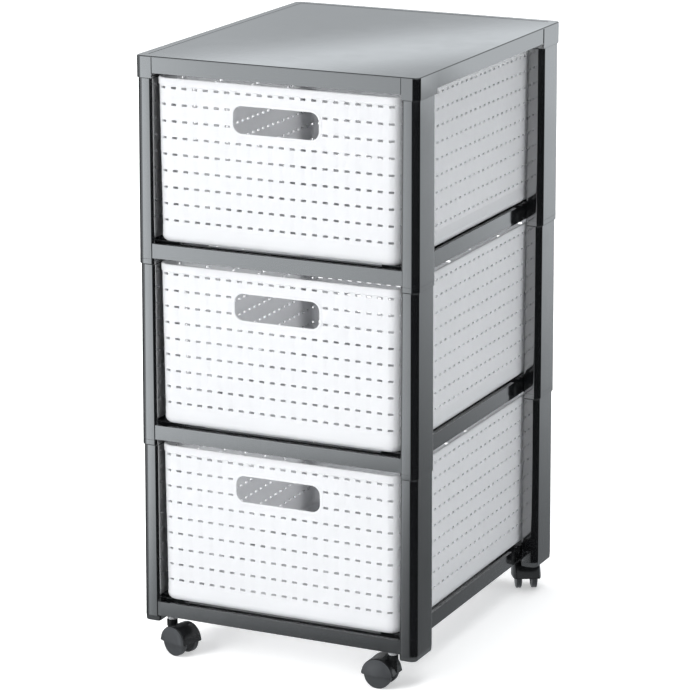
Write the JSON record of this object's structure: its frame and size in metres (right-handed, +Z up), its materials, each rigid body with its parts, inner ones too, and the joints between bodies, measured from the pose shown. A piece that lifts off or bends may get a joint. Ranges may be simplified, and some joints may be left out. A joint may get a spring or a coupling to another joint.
{
  "type": "drawer tower",
  "caption": "Upright plastic tower of stacked open frames on swivel castors, with a flat top cover and perforated pull-out baskets that have handle slots.",
  "frame": {"origin": "on the floor, below the centre of the whole tower's bounding box", "axes": "+Z up, -Y towards the front that the baskets slide out of, +X to the right seen from the front"},
  "size_m": [0.332, 0.4254, 0.6742],
  "materials": {
    "frame": "glossy dark anthracite",
    "basket": "satin white",
    "stem": "bright plated steel",
    "axle": "plain steel",
    "hood": "black, slightly glossy",
    "wheel": "dark grey, hard tread"
  },
  "bodies": {
    "tower": {"top_cover": "frame", "base_frame_1": "frame", "base_frame_2": "frame", "base_frame_3": "frame", "post_1_fl": "frame", "post_1_fr": "frame", "post_1_bl": "frame", "post_1_br": "frame", "post_2_fl": "frame", "post_2_fr": "frame", "post_2_bl": "frame", "post_2_br": "frame", "post_3_fl": "frame", "post_3_fr": "frame", "post_3_bl": "frame", "post_3_br": "frame", "castor_stem_fl": "stem", "castor_stem_fr": "stem", "castor_stem_bl": "stem", "castor_stem_br": "stem"},
    "basket_1": {"basket_1": "basket"},
    "basket_2": {"basket_2": "basket"},
    "basket_3": {"basket_3": "basket"},
    "castor_fl": {"castor_hood_fl": "hood", "castor_axle_fl": "axle"},
    "wheel_fl_a": {"wheel_fl_a": "wheel"},
    "wheel_fl_b": {"wheel_fl_b": "wheel"},
    "castor_fr": {"castor_hood_fr": "hood", "castor_axle_fr": "axle"},
    "wheel_fr_a": {"wheel_fr_a": "wheel"},
    "wheel_fr_b": {"wheel_fr_b": "wheel"},
    "castor_bl": {"castor_hood_bl": "hood", "castor_axle_bl": "axle"},
    "wheel_bl_a": {"wheel_bl_a": "wheel"},
    "wheel_bl_b": {"wheel_bl_b": "wheel"},
    "castor_br": {"castor_hood_br": "hood", "castor_axle_br": "axle"},
    "wheel_br_a": {"wheel_br_a": "wheel"},
    "wheel_br_b": {"wheel_br_b": "wheel"}
  },
  "joints": [
    {"name": "basket_1_slide", "type": "slide", "parent": "tower", "child": "basket_1", "axis": [0, -1, 0], "range_m": [0, 0.3]},
    {"name": "basket_2_slide", "type": "slide", "parent": "tower", "child": "basket_2", "axis": [0, -1, 0], "range_m": [0, 0.3]},
    {"name": "basket_3_slide", "type": "slide", "parent": "tower", "child": "basket_3", "axis": [0, -1, 0], "range_m": [0, 0.3]},
    {"name": "castor_fl_swivel", "type": "hinge", "parent": "tower", "child": "castor_fl", "pos_m": [-0.1353, -0.189, 0.036], "axis": [0, 0, 1], "continuous": true},
    {"name": "wheel_fl_a_spin", "type": "hinge", "parent": "castor_fl", "child": "wheel_fl_a", "pos_m": [-0.12245, -0.19313, 0.016], "axis": [0.3057, 0.9521, 0], "continuous": true},
    {"name": "wheel_fl_b_spin", "type": "hinge", "parent": "castor_fl", "child": "wheel_fl_b", "pos_m": [-0.12245, -0.19313, 0.016], "axis": [0.3057, 0.9521, 0], "continuous": true},
    {"name": "castor_fr_swivel", "type": "hinge", "parent": "tower", "child": "castor_fr", "pos_m": [0.1353, -0.189, 0.036], "axis": [0, 0, 1], "continuous": true},
    {"name": "wheel_fr_a_spin", "type": "hinge", "parent": "castor_fr", "child": "wheel_fr_a", "pos_m": [0.1218, -0.189, 0.016], "axis": [0, -1, 0], "continuous": true},
    {"name": "wheel_fr_b_spin", "type": "hinge", "parent": "castor_fr", "child": "wheel_fr_b", "pos_m": [0.1218, -0.189, 0.016], "axis": [0, -1, 0], "continuous": true},
    {"name": "castor_bl_swivel", "type": "hinge", "parent": "tower", "child": "castor_bl", "pos_m": [-0.1353, 0.189, 0.036], "axis": [0, 0, 1], "continuous": true},
    {"name": "wheel_bl_a_spin", "type": "hinge", "parent": "castor_bl", "child": "wheel_bl_a", "pos_m": [-0.12245, 0.19313, 0.016], "axis": [-0.3057, 0.9521, 0], "continuous": true},
    {"name": "wheel_bl_b_spin", "type": "hinge", "parent": "castor_bl", "child": "wheel_bl_b", "pos_m": [-0.12245, 0.19313, 0.016], "axis": [-0.3057, 0.9521, 0], "continuous": true},
    {"name": "castor_br_swivel", "type": "hinge", "parent": "tower", "child": "castor_br", "pos_m": [0.1353, 0.189, 0.036], "axis": [0, 0, 1], "continuous": true},
    {"name": "wheel_br_a_spin", "type": "hinge", "parent": "castor_br", "child": "wheel_br_a", "pos_m": [0.14184, 0.17719, 0.016], "axis": [0.8746, 0.4848, 0], "continuous": true},
    {"name": "wheel_br_b_spin", "type": "hinge", "parent": "castor_br", "child": "wheel_br_b", "pos_m": [0.14184, 0.17719, 0.016], "axis": [0.8746, 0.4848, 0], "continuous": true}
  ]
}
